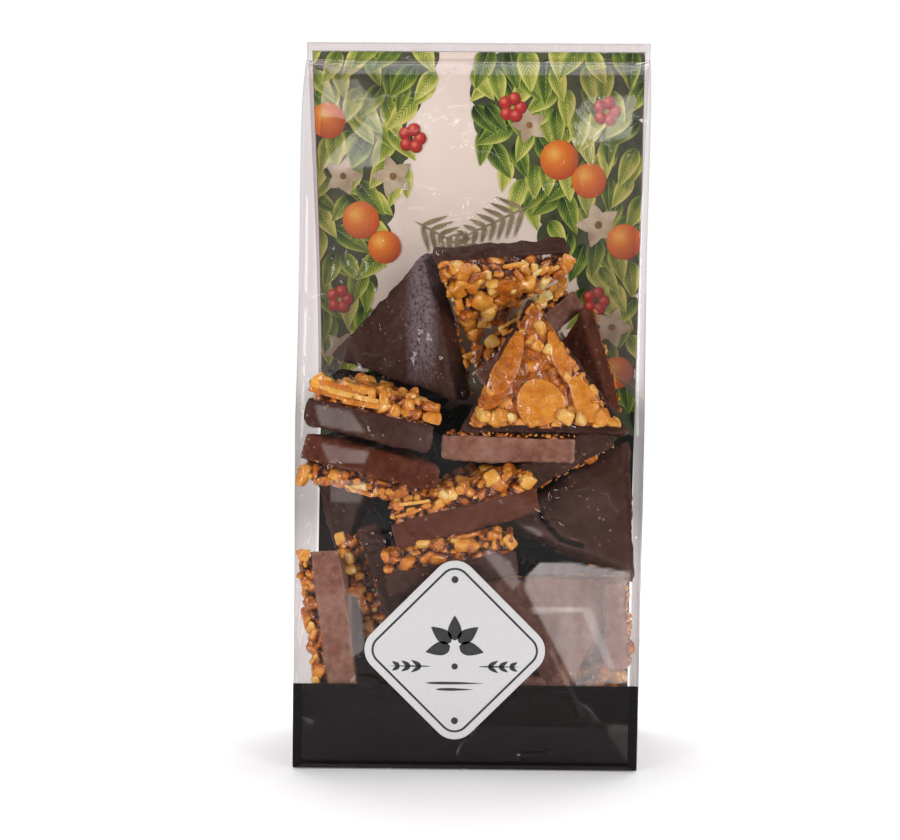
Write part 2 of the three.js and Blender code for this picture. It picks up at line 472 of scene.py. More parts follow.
def card_finish(colour):
    """Coated board, with the faint tooth of its fibres."""
    f = Finish("black_card")
    fibres = f.noise(900, 4, 0.7)
    lifted = tuple(min(1, channel * 1.35 + 0.002) for channel in colour)
    f.set(Base_Color=f.mix(f.span(fibres, 0.35, 0.7), colour, lifted))
    f.set(Roughness=f.span(f.noise(120, 3), 0.3, 0.7, 0.45, 0.57), Specular_IOR_Level=0.14)
    f.set(Normal=f.bump(fibres, 0.00005, 0.5))
    return f.material


def print_ground_finish(pale):
    """The card's printed ground: pale and cloudy like a wash of colour, and painted near-black behind the
    biscuits as painted shade.
    """
    f = Finish("print_ground")
    wash = f.mix(f.span(f.noise(22, 3), 0.35, 0.68), pale, (0.85, 0.71, 0.61))
    # Near-black below about 100 mm: painted shade behind the biscuits.
    painted_shade_below = f.span(f.split()[2], 96 * MM, 108 * MM)
    f.set(Base_Color=f.mix(painted_shade_below, (0.012, 0.008, 0.006), wash), Specular_IOR_Level=0.2)
    f.set(Roughness=f.span(f.noise(700), 0.3, 0.7, 0.4, 0.5))
    return f.material


def leaf_finish(name):
    """Printed leaves: UV u runs along the leaf and v across it, and tone is how lit the leaf is."""
    f = Finish(name)
    along, side, _ = f.split(f.uv())
    across = f.off(side)
    tone = f.attribute("tone")
    ribs = f.math("SINE", f.math("SUBTRACT", f.times(along, 62.0), f.times(across, 40.0)))
    veined = f.times(f.span(ribs, -0.2, 0.9), f.span(across, 0.04, 0.46, -0.34, -0.06))
    half = f.span(side, 0.47, 0.53, -0.07, 0.07)
    lit = f.plus(f.plus(tone, half), f.plus(veined, f.span(across, 0.26, 0.48, 0, 0.30)))
    blot = f.span(f.noise(300, 3), 0.3, 0.7, -0.08, 0.08)
    green = f.ramp(
        f.plus(f.plus(lit, blot), f.span(along, 0.0, 0.45, -0.42, 0.0)),
        (0.0, (0.012, 0.024, 0.008)),
        (0.25, (0.042, 0.084, 0.017)),
        (0.5, (0.145, 0.235, 0.034)),
        (0.75, (0.370, 0.425, 0.070)),
        (1.0, (0.690, 0.660, 0.190)),
    )
    spine = f.times(f.span(across, 0.0, 0.04, 1, 0), f.span(tone, 0.1, 0.3, 0, 0.6))
    f.set(Base_Color=f.mix(spine, green, (0.42, 0.50, 0.13)), Specular_IOR_Level=0.2)
    f.set(Roughness=0.45, Normal=f.bump(f.noise(900), 0.00002, 0.4))
    return f.material


def fruit_finish(name, dark, middle, light):
    """A printed round fruit, shaded across its UV disc, with its rind's grain."""
    f = Finish(name)
    to_light = {0: f.uv(), 1: (0.36, 0.66, 0)}
    distance = f.add("ShaderNodeVectorMath", to_light, operation="DISTANCE").outputs["Value"]
    grain = f.span(f.noise(1600), 0.3, 0.7, -0.06, 0.06)
    depth = f.plus(f.span(distance, 0.02, 0.72), grain)
    f.set(Base_Color=f.ramp(depth, (0.0, light), (0.35, middle), (1.0, dark)), Roughness=0.45)
    return f.material


def ink_finish(name, dark, light, scale=500):
    """A flat printed ink with a slightly uneven lay."""
    f = Finish(name)
    f.set(Base_Color=f.mix(f.span(f.noise(scale, 3), 0.35, 0.68), dark, light))
    f.set(Roughness=f.span(f.noise(300), 0.3, 0.7, 0.42, 0.55))
    return f.material


def label_finish(paper):
    """Matt uncoated white paper."""
    f = Finish("label_paper")
    fibres = f.noise(1400, 4, 0.7)
    f.set(Base_Color=f.mix(f.span(fibres, 0.35, 0.7), paper, (0.580, 0.562, 0.567)))
    f.set(Roughness=0.55, Normal=f.bump(fibres, 0.00003, 0.5))
    return f.material


def floor_finish():
    """A plain pale floor."""
    f = Finish("studio_floor")
    far = f.add("ShaderNodeVectorMath", {0: f.coords}, operation="LENGTH").outputs["Value"]
    near = f.mix(f.noise(3), (0.84, 0.83, 0.83), (0.82, 0.81, 0.81))
    f.set(Base_Color=f.mix(f.span(far, 0.2, 0.6), near, (0, 0, 0)))
    f.set(Roughness=0.6, Specular_IOR_Level=0, Emission_Color=(1, 1, 1, 1))

    # The glow whitens the floor in the picture; only a little of it falls on the pack.
    seen = f.add("ShaderNodeLightPath").outputs["Is Camera Ray"]
    f.set(Emission_Strength=f.times(f.span(far, 0.05, 0.34, 0.22, 1), f.span(seen, 0, 1, 0.2, 1)))
    return f.material


# ---------- what a user may change ----------
def colour_property(name, description, default):
    return bpy.props.FloatVectorProperty(
        name=name, description=description, default=default, size=3, min=0, max=1, subtype="COLOR"
    )


def length_property(name, description, default, highest):
    """A length whose default and highest value are given in millimetres."""
    return bpy.props.FloatProperty(
        name=name,
        description=description,
        default=default * MM,
        min=0,
        max=highest * MM,
        subtype="DISTANCE",
        unit="LENGTH",
    )


def share_property(name, description, default, highest):
    return bpy.props.FloatProperty(
        name=name, description=description, default=default, min=0, max=highest, subtype="FACTOR"
    )


class BiscuitSettings(bpy.types.PropertyGroup):
    """What a user may change on the florentines."""

    dark_chocolate: colour_property(
        "Dark chocolate", "Colour of the dark chocolate", (0.052, 0.0175, 0.011)
    )
    milk_chocolate: colour_property(
        "Milk chocolate", "Colour of the milk chocolate", (0.205, 0.077, 0.047)
    )
    rich_chocolate: colour_property(
        "Rich milk chocolate", "Colour of the milk chocolate with more cocoa", (0.088, 0.018, 0.005)
    )
    # Near-black chocolate for the slabs that are painted shade in the gaps at the back.
    bitter_chocolate: colour_property(
        "Bitter chocolate", "Colour of the darkest florentines, at the back", (0.006, 0.003, 0.002)
    )
    unevenness: length_property(
        "Unevenness", "How far the chocolate's surface wanders from flat", 0.5, 2
    )
    seed: bpy.props.IntProperty(name="Seed", description="Changes how the nuts fall", default=11, min=0)


class CardSettings(bpy.types.PropertyGroup):
    """What a user may change on the card."""

    board: colour_property("Board", "Colour of the card's flap, floor and back", (0.004, 0.0026, 0.0025))
    ground: colour_property("Printed ground", "Colour between the printed leaves", (0.93, 0.81, 0.72))
    seed: bpy.props.IntProperty(name="Seed", description="Changes how the leaves lie", default=5, min=0)


class FilmSettings(bpy.types.PropertyGroup):
    """What a user may change on the film."""

    haze_and_reflection_colour: colour_property("Milky colour", "Colour of the film where it is milky", (0.80, 0.70, 0.69))
    # The milky patches that this scales are mostly painted reflections.
    haze_and_reflection_share: share_property("Milkiness", "How strongly the milky patches show", 1, 4)


class LabelSettings(bpy.types.PropertyGroup):
    """What a user may change on the label."""

    side: length_property("Side", "Length of the label's side", LABEL_SIDE, 60)
    corner: length_property("Corner", "Radius of the label's corners", LABEL_CORNER, 15)
    thickness: length_property("Thickness", "Thickness of the label's paper", LABEL_THICKNESS, 1)
    paper: colour_property("Paper", "Colour of the label's paper", (0.645, 0.625, 0.63))


class StudioSettings(bpy.types.PropertyGroup):
    """What a user may change in the studio."""

    light: share_property("Light", "Strength of the softboxes", 1, 4)
    glow: share_property("Room glow", "What the pack reflects where there is no softbox", 0.12, 1)


# ---------- the biscuits ----------
# Each florentine is a triangle of chocolate under a layer of nougatine. Its three corners lie on
# the plane named after its chocolate: the joint between the layers, or the outer face of either.
# Seen from the nut side the corners run anticlockwise. Then come the two layers' thicknesses; the
# last ones, near-black slabs with no nougatine, are painted shade that darkens the gaps between the others.
FLORENTINES = (
    ("dark", "joint", (-2, 9, 125), (30, -6, 148.5), (-9, -19, 144.5), 6, 6),
    ("milk", "joint", (17.5, 20, 125), (0.5, -5, 112), (31, 5, 137), 6, 5),
    ("dark", "chocolate", (-13.5, -6, 148), (-3.5, -10, 104), (-43.5, 15, 116.5), 8, 2),
    ("rich", "chocolate", (42, -8, 101.5), (20, 4, 110), (33, -1, 132.5), 7, 2),
    ("dark", "nuts", (18, -16, 134), (0, -22.5, 98.5), (44, -22.5, 98.5), 7.5, 6),
    ("dark", "joint", (-26, 9, 103), (-45, -23, 106), (-8.5, -21, 97.5), 8, 6),
    ("rich", "joint", (-28, 9, 84), (-8, -20.5, 79), (-48, -21.5, 89), 7.5, 5.5),
    ("milk", "joint", (12, 10, 94), (-8, -16, 95), (32, -16, 94), 7, 1.2),
    ("rich", "joint", (0, 8, 79), (-22, -23.5, 69.5), (20.5, -20, 80.5), 7.5, 6),
    ("dark", "chocolate", (47, -4, 94.5), (47.5, -22.5, 56.5), (8, -12, 71), 9, 1),
    ("dark", "joint", (30, 12, 92), (43, -12, 92.5), (13, -14, 75.5), 8, 0.8),
    ("dark", "joint", (-4, 8, 62), (-24, -23, 55.5), (15, -20.5, 62.5), 7.5, 6),
    ("milk", "joint", (-42, 9, 41), (-39, -22, 19), (-44.5, -22, 62.5), 8.5, 3.6),
    ("dark", "joint", (-27, 9, 52), (-21.5, -14, 35), (-32.5, -14, 68), 7, 6),
    ("dark", "chocolate", (-29, -2, 81), (-38, -5, 54), (-47, 2, 83), 7, 2),
    ("milk", "chocolate", (46.5, -15, 54.5), (27, -19, 16), (2.5, -12, 53), 8, 5),
    ("dark", "joint", (43, 9, 21), (24, -3, 19), (47, -20.5, 20.5), 7, 6),
    ("milk", "joint", (46.5, 5, 38), (45.2, -19, 54), (46.8, -21, 28), 6, 1.2),
    ("milk", "joint", (8, 9, 16), (24, -19, 18.5), (0, -21, 18), 7.5, 6),
    ("dark", "joint", (-6, 9, 38), (-22, -18, 39), (0, -19, 37), 7.5, 6),
    ("milk", "joint", (-28, 9, 9), (-47, -20, 9), (-8, -21, 9), 7.5, 6),
    ("dark", "joint", (24, 9, 9), (10, -14, 8.5), (46, -12, 8.5), 7.5, 4),
    ("dark", "joint", (18, 20, 104), (6, -2, 104), (33, 4, 104), 6, 4),
    ("bitter", "chocolate", (-25, 12, 62), (-45, 13, 98), (-4, 13, 99), 8, 0),
    ("bitter", "chocolate", (22, 12, 98), (46, 12, 62), (2, 12, 61), 8, 0),
    ("bitter", "chocolate", (-22, 12, 60), (-2, 12, 22), (-44, 12, 23), 8, 0),
    ("bitter", "chocolate", (24, 12, 22), (1, 12, 59), (46, 12, 58), 8, 0),
    ("bitter", "chocolate", (-3, 6, 110), (-24, 6, 84), (-44, 9, 113), 7, 0),
)
# Each chocolate's slot, the colour of its bloom, and how strongly the band of painted sheen shows on it.
CHOCOLATES = {
    "dark": ("dark_chocolate", (0.092, 0.044, 0.035), 0.9),
    "milk": ("milk_chocolate", (0.430, 0.250, 0.190), 0),
    "rich": ("milk_chocolate", (0.170, 0.055, 0.030), 0),
    # The shadowed kind is near-black chocolate, painted shade in the gaps.
    "bitter": ("dark_chocolate", (0.012, 0.006, 0.005), 0),
}
CORNER_ROUNDING = 1.3
CHOCOLATE_RIM = 1.4
WORN_RIMS = {10: 2.4}  # florentines whose chocolate edge is worn wider than that
CHOCOLATE_GRAIN = 0.7
NOUGATINE_GRAIN = 0.5
WAVES = 9, 4  # size of the chocolate's broad waves in millimetres, and their share of unevenness
CHIPS = 2.2, 1.6  # the same for its small chips
CHOP_SPACING = 3.0  # mean distance between the chopped pieces that the caramel holds
CRACK_DEPTH = 1.3
CRACK_WIDTH = 1.3
CRACKED = 10  # the florentine whose chocolate face has a crack, and the crack's (x, z) points
CRACK_LINE = ((19.5, 76.5), (21.5, 71), (27, 65), (33.5, 63.5))
GROOVE_DEPTH = 2.6
GROOVE_WIDTH = 1.0
PLANKED = 6  # the florentine with long split almonds along its front wall, and where they lie:
PLANKS = ((0.22, 0.86, 8), (0.30, 0.58, 9), (0.16, 0.40, 6), (0.42, 0.30, 6), (0.36, 0.98, 5))
FRONT_WALL = 1

# The florentine whose nut face shows whole. Its almond slices, in millimetres from its middle:
# x, y, half length, half width, angle in degrees, tone. Then its loose chunks: x, y, half size, tone.
FACE_ON = 5
FACE_ON_CALM = 0.6
FACE_ON_RIM = 1.3  # how far its chocolate shows around its nougatine
FACE_ON_SLICES = (
    (0.5, -5.6, 6.9, 6.7, 0, 0.60),
    (-8.9, 5.6, 9.6, 3.5, 69, 0.42),
    (5.4, 8.0, 7.4, 2.3, 112, 0.54),
    (12.6, -4.6, 7.2, 3.2, 115, 0.62),
    (-1.8, 18.2, 4.6, 2.0, 72, 0.32),
    (-12.8, -4.2, 5.0, 2.6, 30, 0.34),
)
FACE_ON_CHUNKS = (
    (0.3, 16.0, 2.5, 0.82),
    (-0.8, 10.6, 1.9, 0.74),
    (2.8, 9.4, 1.9, 0.90),
    (8.4, 1.2, 2.1, 0.74),
    (3.6, 2.6, 1.9, 0.34),
    (-14.2, -2.6, 2.2, 0.60),
    (-15.6, -9.4, 2.3, 0.84),
    (-10.6, -9.6, 2.7, 0.66),
    (-7.6, -10.2, 2.2, 0.88),
    (7.4, -9.6, 2.6, 0.82),
    (11.8, -10.2, 2.3, 0.88),
    (17.4, -9.8, 2.3, 0.66),
    (16.0, -5.0, 1.8, 0.50),
)


def local_frame(corners, plane, chocolate, nougatine):
    """A florentine's turn, its place, and its corners in its own axes: x along its front, z to its nuts."""
    a, b, c = (np.array(corner, float) for corner in corners)
    along = (c - b) / np.linalg.norm(c - b)
    up = np.cross(b - a, c - a)
    up /= np.linalg.norm(up)
    turn = np.stack([along, np.cross(up, along), up], axis=1)
    origin = (a + b + c) / 3
    outline = [((corner - origin) @ turn)[:2] for corner in (a, b, c)]
    return turn, origin + up * {"joint": 0, "chocolate": chocolate, "nuts": -nougatine}[plane], outline


def inset(outline, distance):
    """The triangle whose sides lie a distance inside those of an outline."""
    moved = []
    for i, corner in enumerate(outline):
        before, after = outline[i - 1] - corner, outline[(i + 1) % 3] - corner
        before, after = before / np.linalg.norm(before), after / np.linalg.norm(after)
        half_angle = math.acos(np.clip(before @ after, -1, 1)) / 2
        bisector = (before + after) / np.linalg.norm(before + after)
        moved.append(corner + bisector * distance / math.sin(half_angle))
    return moved


def walls(outline):
    """Each side wall of a florentine: its start, its direction, its length and the way inwards."""
    for start, end in zip(outline, (*outline[1:], outline[0])):
        length = np.linalg.norm(end - start)
        along = (end - start) / length
        yield start, along, length, np.array([-along[1], along[0]])


def slab(name, outline, low, high, rim, grain):
    """A triangular slab with rounded corners and a rounded lower rim, remeshed to an even grain."""

    def around(point):
        return math.atan2(point[1], point[0])

    add = bpy.ops.mesh.primitive_cylinder_add
    piece = new_primitive(add, name, vertices=3, radius=1, depth=(high - low) * MM)
    corners = sorted(outline, key=around)
    points = sorted({(round(v.co.x, 5), round(v.co.y, 5)) for v in piece.data.vertices}, key=around)
    for vertex in piece.data.vertices:
        nearest = min(range(3), key=lambda i: math.dist(points[i], vertex.co[:2]))
        vertex.co.x, vertex.co.y = corners[nearest] * MM
        vertex.co.z += (low + high) / 2 * MM
    bevel_edges(piece, upright, CORNER_ROUNDING * MM, 3)
    bevel_edges(piece, lambda a, b: max(a.z, b.z) < low * MM + LEVEL, rim * MM, 3)
    modify(piece, "REMESH", mode="VOXEL", voxel_size=grain * MM, use_smooth_shade=True)
    return piece


def chop(piece, rng, outline, layer, calm_top):
    """Breaks a slab's surface into chopped pieces with cracks between them, and gives each its tone, made
    lower in the cracks, on low parts and near the layer's bottom as painted shade.

    Every point belongs to the seed that it is nearest to, less that seed's own reach, so that the
    pieces differ in size. Each is lifted and tipped by its own amount, as cut nuts lie in caramel.
    calm_top is the share of the relief that the top loses, where large slices cover it.
    """
    mesh = piece.data
    points = np.empty(len(mesh.vertices) * 3)
    normals = np.empty_like(points)
    mesh.vertices.foreach_get("co", points)
    mesh.vertices.foreach_get("normal", normals)
    points, normals = points.reshape(-1, 3) / MM, normals.reshape(-1, 3)

    low, high = np.min(outline, axis=0) - 1, np.max(outline, axis=0) + 1
    count = round((high[0] - low[0]) * (high[1] - low[1]) * (layer + 1) / CHOP_SPACING**3)
    draw = np.random.default_rng(rng.randrange(10**6))
    seeds = draw.uniform((*low, -0.5), (*high, layer + 0.5), (count, 3))
    reach = draw.uniform(0, 4.5, count) ** 1.2
    spans = ((points[:, None, :] - seeds[None, :, :]) ** 2 * (0.75, 0.75, 1.4)).sum(axis=2) - reach
    order = np.argpartition(spans, 1, axis=1)[:, :2]
    first, second = (np.take_along_axis(spans, order[:, i : i + 1], axis=1)[:, 0] for i in (0, 1))
    swap = second < first
    order[swap] = order[swap][:, ::-1]
    gap = np.linalg.norm(seeds[order[:, 0]] - seeds[order[:, 1]], axis=1)
    to_edge = np.abs(second - first) / (2 * gap)
    own = order[:, 0]

    solid = smooth(0, CRACK_WIDTH, to_edge) ** 0.7
    lift = draw.uniform(-0.9, 0.7, count)[own]
    tip = (draw.normal(0, 0.24, (count, 3))[own] * (points - seeds[own])).sum(axis=1)
    relief = lift + np.clip(tip, -0.9, 0.9) - CRACK_DEPTH * (1 - solid)
    relief *= 1 - calm_top * smooth(0.6, 0.9, normals[:, 2])
    relief *= smooth(-0.4, 0.6, points[:, 2])
    points += normals * relief[:, None]
    mesh.vertices.foreach_set("co", (points * MM).ravel())
    mesh.update()

    tone = np.clip(draw.normal(0.55, 0.17, count), 0.2, 1)[own]
    # Cracks, low parts and the layer's bottom get lower tones: painted shade.
    tone = tone * (0.15 + 0.85 * solid) + 0.12 * np.clip(relief, -1, 1)
    tone *= 0.5 + 0.5 * smooth(0, 1.2, points[:, 2])
    point_values(mesh, "tone", np.maximum(tone, 0.6 * calm_top))


def crack(piece, line):
    """Sinks a channel into a chocolate's front along a line of (x, z) points, in millimetres, and marks
    each point's depth in it, by which the finish paints the crack dark as painted shade.
    """
    vertices = piece.data.vertices
    depths = np.zeros(len(vertices))
    for (x0, z0), (x1, z1) in zip(line, line[1:]):
        length = math.hypot(x1 - x0, z1 - z0)
        for i, vertex in enumerate(vertices):
            x, z = vertex.co.x / MM - x0, vertex.co.z / MM - z0
            along = (x * (x1 - x0) + z * (z1 - z0)) / length
            off = abs(x * (z1 - z0) - z * (x1 - x0)) / length
            if -0.3 <= along <= length + 0.3 and vertex.normal.y < 0:
                depths[i] = max(depths[i], 1 - float(smooth(0, GROOVE_WIDTH, off)))
    for vertex, depth in zip(vertices, depths):
        vertex.co.y += GROOVE_DEPTH * MM * depth
    point_values(piece.data, "groove", depths)


NUT_SHAPES = (
    (1.0, 0.8, 0.75),
    (1.0, 0.7, 0.65),
    (0.9, 0.9, 0.8),
    (1.2, 0.65, 0.6),
    (0.9, 0.8, 0.85),
    (1.05, 0.8, 0.6),
)
CUT_NUTS = range(len(NUT_SHAPES))
SLICE = len(NUT_SHAPES)
SLIVER = SLICE + 1


def nut_forms(rng):
    """Cut nuts, an almond slice and a sliver, each modelled once, about 1 mm in half size."""
    forms = []
    for size in NUT_SHAPES:
        nut = new_primitive(bpy.ops.mesh.primitive_cube_add, "cut_nut", size=2)
        for vertex in nut.data.vertices:
            vertex.co = Vector(s * c * rng.uniform(0.6, 1.2) for s, c in zip(size, vertex.co))
        bevel_edges(nut, lambda a, b: True, 0.42, 3)
        forms.append(Form(nut))
    add = bpy.ops.mesh.primitive_cylinder_add
    for name, thickness in (("almond_slice", 0.3), ("almond_sliver", 0.26)):
        piece = new_primitive(add, name, vertices=24, radius=1, depth=thickness)
        for vertex in piece.data.vertices:
            vertex.co.y *= 1 - 0.2 * vertex.co.x
        bevel_edges(piece, lambda a, b: abs(a.z - b.z) < 0.01, 0.07, 2)
        forms.append(Form(piece))
    return forms


def keep_inside(points, outline, slack):
    """Cuts copies off flat where they would pass a florentine's side walls, as a knife leaves them."""
    for start, _, _, inwards in walls(outline):
        beyond = (start - points[:, :2]) @ inwards - slack
        points[:, :2] += np.maximum(beyond, 0)[:, None] * inwards
    return points


def random_turn(rng):
    """A random rotation."""
    spin = Matrix.Rotation(rng.uniform(0, math.tau), 3, "Z")
    heading = rng.uniform(0, math.tau)
    axis = Vector((math.cos(heading), math.sin(heading), 0))
    return np.array(Matrix.Rotation(rng.uniform(-math.pi, math.pi), 3, axis) @ spin)


class NutLayer:
    """The loose nuts, slices and slivers that lie in and on one florentine's caramel."""

    def __init__(self, forms, rng, outline, thickness, turn, origin):
        self.forms, self.rng, self.outline, self.thickness = forms, rng, outline, thickness
        self.turn, self.origin = turn, origin
        self.scale = min(1, thickness / 4.5)
        self.heap = Heap()

    def put(self, kind, at, size, twist, tone, slack):
        """Adds one piece at a place in the florentine's own axes, cut off at its walls."""
        shape = self.forms[kind].points * size @ np.array(twist).T
        points = keep_inside(shape + at, self.outline, slack)
        self.heap.put(self.forms[kind], points @ self.turn.T + self.origin, tone)

    def nut(self, spot, height, size, tone, slack=0.2):
        """Adds a cut nut of a half size."""
        rng = self.rng
        stretch = np.array([rng.uniform(0.85, 1.35), rng.uniform(0.8, 1.1), rng.uniform(0.75, 1.05)])
        twist = random_turn(rng)
        at, tone = np.array([*spot, height]), min(1, max(0.05, tone))
        self.put(rng.choice(CUT_NUTS), at, size * stretch, twist, tone, slack)

    def slice(self, spot, size, width, angle, tone):
        """Lays an almond slice on top, turned by an angle in degrees."""
        tilt = Matrix.Rotation(self.rng.uniform(-0.1, 0.1), 3, "X")
        at = np.array([*spot, self.thickness + self.rng.uniform(0.2, 0.5)])
        lie = tilt @ Matrix.Rotation(math.radians(angle), 3, "Z")
        self.put(SLICE, at, np.array([size, width, 4.0]), lie, tone, 0.1)

    def sliver(self, side, way, height, half_length, thickness):
        """Lays a sliver along a side wall, a way along it and a share of the layer up."""
        rng = self.rng
        start, along, length, inwards = list(walls(self.outline))[side]
        spot = start + along * length * way + inwards * 0.2
        level = Matrix.Rotation(math.atan2(along[1], along[0]) + rng.uniform(-0.1, 0.1), 3, "Z")
        level = level @ Matrix.Rotation(rng.uniform(-0.16, 0.16), 3, "Y")
        at = np.array([*spot, self.thickness * height])
        size = self.scale * np.array([half_length, 0.9, thickness])
        self.put(SLIVER, at, size, level, rng.uniform(0.45, 0.82), 0.9)

    def line_walls(self):
        """Nuts and slivers that stick out of the three side walls, more of them near the top."""
        rng = self.rng
        for side, (start, along, length, inwards) in enumerate(walls(self.outline)):
            reach = rng.uniform(0.8, 3)
            while reach < length - 1:
                spot = start + along * reach + inwards * rng.uniform(0.2, 1.8)
                size = self.scale * rng.choice((1.1, 1.5, 1.9, 2.6)) * rng.uniform(0.85, 1.15)
                height = self.thickness * rng.uniform(0.3, 0.95)
                self.nut(spot, height, size, rng.gauss(0.62, 0.17), rng.uniform(-0.2, 1.0))
                reach += rng.uniform(1.6, 4.2) * max(0.6, self.scale)
            for _ in range(rng.randrange(0, 3)):
                self.sliver(side, rng.uniform(0.15, 0.85), rng.uniform(0.3, 0.95), rng.uniform(3, 5), 3.5)

    def cover_top(self):
        """Nuts strewn over the top, with a few almond slices."""
        rng = self.rng
        low, high = np.min(self.outline, axis=0), np.max(self.outline, axis=0)
        for x in np.arange(low[0], high[0], 4.2):
            for y in np.arange(low[1], high[1], 4.2):
                spot = np.array([x + rng.uniform(-2, 2), y + rng.uniform(-2, 2)])
                if all((spot - start) @ inwards >= 0.8 for start, _, _, inwards in walls(self.outline)):
                    size = self.scale * rng.choice((1.5, 1.8, 2.2, 2.8)) * rng.uniform(0.85, 1.15)
                    height = self.thickness - self.scale * rng.uniform(0.2, 1.2)
                    self.nut(spot, height, size, rng.gauss(0.6, 0.18))
        for _ in range(2):
            spread = [rng.uniform(0.1, 1) for _ in range(3)]
            spot = sum(w * p for w, p in zip(spread, self.outline)) / sum(spread)
            size = self.scale * rng.uniform(3.2, 5.4)
            width, angle = size * rng.uniform(0.5, 0.75), rng.uniform(0, 360)
            self.slice(spot, size, width, angle, rng.uniform(0.35, 0.6))


class FLORENTINES_OT_biscuits(bpy.types.Operator):
    """Adds the florentines, each a chocolate slab under a layer of nuts in caramel"""

    bl_idname = "florentines.biscuits"
    bl_label = "Add Florentines"

    def execute(self, context):
        settings = context.scene.florentine_biscuits
        rng = random.Random(settings.seed)
        forms = nut_forms(rng)
        finishes = {}
        for kind, (_, bloom, painted_sheen) in CHOCOLATES.items():
            name = f"{kind}_chocolate"
            finishes[kind] = chocolate_finish(name, tuple(getattr(settings, name)), bloom, painted_sheen)
        nougatine = nougatine_finish()
        uneven = []
        for name, (size, share) in (("chocolate_waves", WAVES), ("chocolate_chips", CHIPS)):
            texture = bpy.data.textures.new(name, "CLOUDS")
            texture.noise_scale, texture.noise_depth = size * MM, 2
            uneven.append((texture, settings.unevenness * share))

        for number, (kind, plane, a, b, c, base, layer) in enumerate(FLORENTINES, start=1):
            turn, origin, outline = local_frame((a, b, c), plane, base, layer)
            place = Matrix([[*turn[i], origin[i] * MM] for i in range(3)] + [[0, 0, 0, 1]])
            name = f"florentine_{number:02d}"
            face_on = number == FACE_ON

            # The textures are fixed in the bag, so no two slabs are alike.
            rim = WORN_RIMS.get(number, CHOCOLATE_RIM)
            spread = inset(outline, -FACE_ON_RIM) if face_on else outline
            chocolate = slab(f"{name}_chocolate", spread, -base, 0, rim, CHOCOLATE_GRAIN)
            settle(chocolate, place)
            for texture, depth in uneven:
                how = {"texture": texture, "texture_coords": "GLOBAL", "strength": depth, "mid_level": 0.5}
                modify(chocolate, "DISPLACE", **how)
            if number == CRACKED:
                crack(chocolate, CRACK_LINE)
            dress(chocolate, CHOCOLATES[kind][0], finishes[kind], "bag")
            if not layer:
                continue

            caramel = slab(f"{name}_caramel", inset(outline, 0.5), -0.6, layer - 0.3, 0.3, NOUGATINE_GRAIN)
            chop(caramel, rng, outline, layer, FACE_ON_CALM if face_on else 0)
            settle(caramel, place)
            nuts = NutLayer(forms, rng, outline, layer, turn, origin)
            nuts.line_walls()
            if number == PLANKED:
                for way, height, half_length in PLANKS:
                    nuts.sliver(FRONT_WALL, way, height, half_length, 6)
            if face_on:
                for x, y, size, width, angle, tone in FACE_ON_SLICES:
                    nuts.slice((x, y), size, width, angle, tone)
                for x, y, size, tone in FACE_ON_CHUNKS:
                    nuts.nut((x, y), layer + 0.2, size, tone)
            else:
                nuts.cover_top()
            nougat = nuts.heap.piece(f"{name}_nougatine")
            take(nougat)
            caramel.select_set(True)
            bpy.ops.object.join()
            shade(nougat, 58)
            dress(nougat, "nougatine", nougatine, "bag")
        return {"FINISHED"}


# ---------- the card and its print ----------
def card_x(x, z):
    """Where a point x across the card lies at a height: the card drifts a little inside the film."""
    return x + lean_x(z) + CARD_DRIFT * smooth(40, 130, z) * (1 - smooth(150, CARD_HEIGHT, z))


def print_y(z, lift):
    """A lift in front of the back panel's inner face."""
    return back_y(z) - CARD_THICKNESS - lift


def card_line():
    """The card's outer line in the Y-Z plane, from the flap's top round the floor to the panel's top."""
    line = [(-HALF_DEPTH, FLAP_HEIGHT), (-HALF_DEPTH, FLAP_HEIGHT / 2)]
    for side in (-1, 1):
        for i in range(7):
            turn = math.pi / 2 * (i / 6 if side < 0 else 1 - i / 6)
            y = HALF_DEPTH - CREASE_RADIUS + CREASE_RADIUS * math.cos(turn)
            line.append((side * y, CREASE_RADIUS - CREASE_RADIUS * math.sin(turn)))
    return line + [(float(back_y(z)), float(z)) for z in np.linspace(8, CARD_HEIGHT, 60)]


def sheet(name, line, half_width, **wall):
    """A strip of card: an edge extruded along a line, placed across by card_x and given its wall."""
    (y, z), *rest = line
    add = bpy.ops.mesh.primitive_plane_add
    piece = new_primitive(add, name, size=1, location=(0, y * MM, z * MM))
    bpy.ops.object.mode_set(mode="EDIT")
    bpy.ops.mesh.select_mode(type="EDGE")
    bpy.ops.mesh.select_all(action="DESELECT")
    bpy.ops.object.mode_set(mode="OBJECT")
    points, edges = piece.data.vertices, piece.data.edges
    for vertex in points:
        vertex.co = (math.copysign(half_width * MM, vertex.co.x), 0, 0)
    across = [e.index for e in edges if points[e.vertices[0]].co.x * points[e.vertices[1]].co.x < 0]
    for edge in edges:
        edge.select = edge.index == across[-1]
    bpy.ops.object.mode_set(mode="EDIT")
    for next_y, next_z in rest:
        step = (0, (next_y - y) * MM, (next_z - z) * MM)
        bpy.ops.mesh.extrude_edges_move(TRANSFORM_OT_translate={"value": step})
        y, z = next_y, next_z
    bpy.ops.mesh.select_all(action="SELECT")
    bpy.ops.mesh.remove_doubles(threshold=DOUBLES)
    bpy.ops.object.mode_set(mode="OBJECT")
    settle(piece, piece.matrix_world.copy())
    for vertex in piece.data.vertices:
        x, y, z = (value / MM for value in vertex.co)
        vertex.co.x = float(card_x(x, z) if y > 0 else x + lean_x(z)) * MM
    modify(piece, "SOLIDIFY", **wall)
    outward(piece, 40)
    return piece


